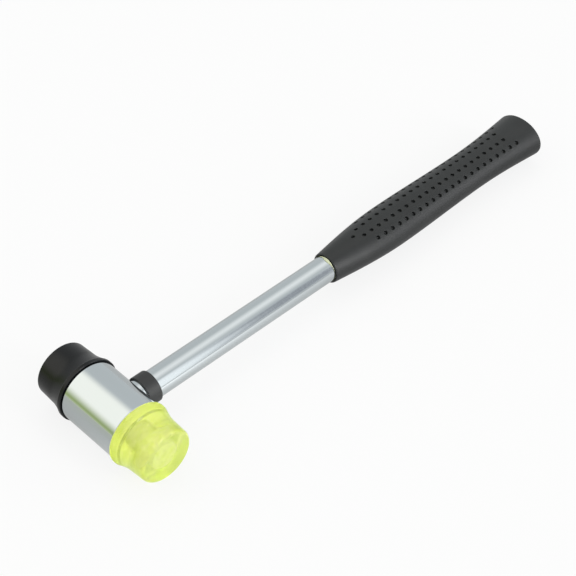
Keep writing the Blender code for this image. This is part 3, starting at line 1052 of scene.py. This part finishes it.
def painted_pool_of_light(tree):
    """An oval pool of light painted on the table as a glow, fading from its middle outwards."""
    here = add(tree, "ShaderNodeTexCoord", {}).outputs["Object"]
    spot = add(
        tree,
        "ShaderNodeMapping",
        {"Vector": here, "Location": POOL_MIDDLE, "Scale": POOL_RADII},
        vector_type="TEXTURE",
    )
    fading = add(
        tree, "ShaderNodeTexGradient", {"Vector": spot.outputs["Vector"]}, gradient_type="QUADRATIC_SPHERE"
    )
    strength = add(tree, "ShaderNodeMath", {0: fading.outputs["Fac"], 1: POOL_LIGHT}, operation="MULTIPLY")
    return add(tree, "ShaderNodeEmission", {"Strength": strength.outputs["Value"]})


def white_table():
    made, tree, output = blank_material("white_table")
    coats = {}
    for coat in (TABLE_WHITE, TABLE_PAINT):
        paint = {"Base Color": colour(coat), "Roughness": TABLE_ROUGHNESS}
        coats[coat] = add(tree, "ShaderNodeBsdfPrincipled", paint).outputs[0]
    glow = add(tree, "ShaderNodeEmission", {"Color": colour(TABLE_WHITE), "Strength": 1})
    seen = add(tree, "ShaderNodeMixShader", {0: SHADOW_SHARE, 1: glow.outputs[0], 2: coats[TABLE_WHITE]})
    # the grey paint with the painted pool of light on it
    lit = add(tree, "ShaderNodeAddShader", {0: coats[TABLE_PAINT], 1: painted_pool_of_light(tree).outputs[0]})
    path = add(tree, "ShaderNodeLightPath", {})
    mirrored = add(
        tree,
        "ShaderNodeMath",
        {0: path.outputs["Is Glossy Ray"], 1: path.outputs["Is Transmission Ray"]},
        operation="ADD",
    )
    share = add(
        tree,
        "ShaderNodeMath",
        {0: mirrored.outputs[0], 1: MIRRORED_SHARE, 2: path.outputs["Is Camera Ray"]},
        operation="MULTIPLY_ADD",
    )
    either = add(tree, "ShaderNodeMixShader", {0: share.outputs[0], 1: lit.outputs[0], 2: seen.outputs[0]})
    tree.links.new(either.outputs["Shader"], output.inputs["Surface"])
    return made


bm = bmesh.new()
bmesh.ops.create_grid(bm, x_segments=1, y_segments=1, size=TABLE_SIZE / 2)
table_mesh = bpy.data.meshes.new("table")
bm.to_mesh(table_mesh)
bm.free()
table_mesh.materials.append(white_table())
table = bpy.data.objects.new("table", table_mesh)
bpy.context.scene.collection.objects.link(table)
print("table laid")

# %% [markdown]
# ## Studio light
# Chrome shows its surroundings, so the light is drawn as a room for the chrome to show. It could be built
# of lamps, but a lamp's edge mirrors as a hard line, and the soft edge of a real light tent doesn't. So
# the world itself is the room: an even pale grey all round, with soft-edged patches painted on it by
# direction. A large one above and behind the head makes the broad white band on the barrel, and a weaker
# one over the handle and one in front make the bright lines on the tube. Two small bright ones give the
# rubber its sheen, and a dark strip and a dull green corner stand for the open sides of the tent. Together
# they light a white card to about white.

# %% Patches of the room
ROOM = (0.78, 0.81, 0.82, 1)
PATCHES = (
    # middle, the way it runs, half angles, soft edges, light
    # above and behind the head
    ((-0.615, 0.545, 0.571), (-0.680, 0, -0.733), (55, 22), (40, 24), (1.60, 1.57, 1.45)),
    # over the handle
    ((0.46, 0.04, 0.887), (0, -1, 0), (16.4, 14), (36, 16), (1.33, 1.33, 1.32)),
    # in front
    ((0, -0.895, 0.447), (1, 0, 0), (32, 29), (14, 16), (1.52, 1.55, 1.57)),
    # in front, small and bright
    ((0.218, -0.907, 0.36), (1, 0, 0), (5.5, 18), (4, 14), (9.5, 9.5, 9.5)),
    # the dark strip
    ((0.528, -0.762, 0.375), (1, 0, 0), (3.4, 22), (4, 24), (0.47, 0.49, 0.53)),
    # at the right, small and bright
    ((0.707, -0.636, 0.309), (1, 0, 0), (8, 16), (6, 14), (3.5, 3.5, 3.6)),
    # the green corner, low behind the head
    ((-0.831, 0.545, 0.112), (0, 0, 1), (10, 40), (33, 30), (0.35, 0.48, 0.10)),
)


def mask_along(tree, ahead, aside, half_angle, soft_angle):
    """One inside a half angle to either side of straight ahead, falling to nought over a soft edge."""
    turn = add(tree, "ShaderNodeMath", {0: aside, 1: ahead}, operation="ARCTAN2")
    off = add(tree, "ShaderNodeMath", {0: turn.outputs["Value"]}, operation="ABSOLUTE")
    full = math.radians(half_angle - soft_angle / 2)
    gone = math.radians(half_angle + soft_angle / 2)
    return add(
        tree,
        "ShaderNodeMapRange",
        {"Value": off.outputs["Value"], **dict(zip(RANGE, (full, gone, 1, 0)))},
        interpolation_type="SMOOTHSTEP",
    ).outputs["Result"]


def patch_of_light(tree, looking, behind_it, patch):
    """Paints one row of the patches over what is behind it."""
    middle, runs, half_angles, soft_angles, light = patch
    ahead = Vector(middle).normalized()
    along = (Vector(runs) - Vector(runs).dot(ahead) * ahead).normalized()
    shares = {}
    for name, axis in (("ahead", ahead), ("along", along), ("across", ahead.cross(along))):
        shares[name] = add(
            tree, "ShaderNodeVectorMath", {0: looking, 1: axis}, operation="DOT_PRODUCT"
        ).outputs["Value"]
    length = mask_along(tree, shares["ahead"], shares["along"], half_angles[0], soft_angles[0])
    width = mask_along(tree, shares["ahead"], shares["across"], half_angles[1], soft_angles[1])
    mask = add(tree, "ShaderNodeMath", {0: length, 1: width}, operation="MULTIPLY")
    return add(
        tree,
        "ShaderNodeMix",
        {"Factor": mask.outputs["Value"], MIX_A: behind_it, MIX_B: (*light, 1)},
        data_type="RGBA",
    ).outputs[MIX_RESULT]


print("the room has", len(PATCHES), "patches")

# %% The room
world = bpy.data.worlds.new("studio")
bpy.context.scene.world = world
world.use_nodes = True
tree = world.node_tree
tree.nodes.clear()
looking = add(tree, "ShaderNodeTexCoord", {}).outputs["Generated"]
painted = add(tree, "ShaderNodeRGB", {})
painted.outputs[0].default_value = ROOM
room = painted.outputs[0]
for patch in PATCHES:
    room = patch_of_light(tree, looking, room, patch)
path = add(tree, "ShaderNodeLightPath", {})
lit = add(tree, "ShaderNodeBackground", {"Color": room, "Strength": 1})
backdrop = add(tree, "ShaderNodeBackground", {"Color": colour(TABLE_WHITE), "Strength": 1})
either = add(
    tree,
    "ShaderNodeMixShader",
    {0: path.outputs["Is Camera Ray"], 1: lit.outputs[0], 2: backdrop.outputs[0]},
)
add(tree, "ShaderNodeOutputWorld", {"Surface": either.outputs[0]})
print("the room is painted by", len(tree.nodes), "nodes")

# %% [markdown]
# ## Camera
# The camera looks down on the head from the front left with a long lens, at the angle of the photograph.
# Its place is counted from the middle of the head, and its direction is given as a compass angle and a
# height.

# %% Camera
CAMERA_FROM_HEAD = Vector((-0.2245, -0.33286, 0.4610))  # metres, as is the nudge
CAMERA_COMPASS = math.radians(-44.356)
CAMERA_HEIGHT = math.radians(44.642)
CAMERA_LENS = 92.036
CAMERA_SENSOR = 36.0
CAMERA_NUDGE = 0.000205  # half a pixel of the picture, at the head

sine = math.sin(CAMERA_COMPASS)
cosine = math.cos(CAMERA_COMPASS)
level = math.cos(CAMERA_HEIGHT)
right = Vector((cosine, sine, 0))
behind = Vector((sine * level, -cosine * level, math.sin(CAMERA_HEIGHT)))
upward = behind.cross(right)
lens = bpy.data.cameras.new("camera")
lens.lens = CAMERA_LENS
lens.sensor_width = CAMERA_SENSOR
camera = bpy.data.objects.new("camera", lens)
bpy.context.scene.collection.objects.link(camera)
turned = Matrix((right, upward, behind)).transposed().to_4x4()
camera.matrix_world = Matrix.Translation(head + CAMERA_FROM_HEAD + CAMERA_NUDGE * (upward - right)) @ turned
bpy.context.scene.camera = camera
bpy.context.scene.view_settings.view_transform = "Standard"
print("camera at", [round(value, 4) for value in camera.matrix_world.translation])
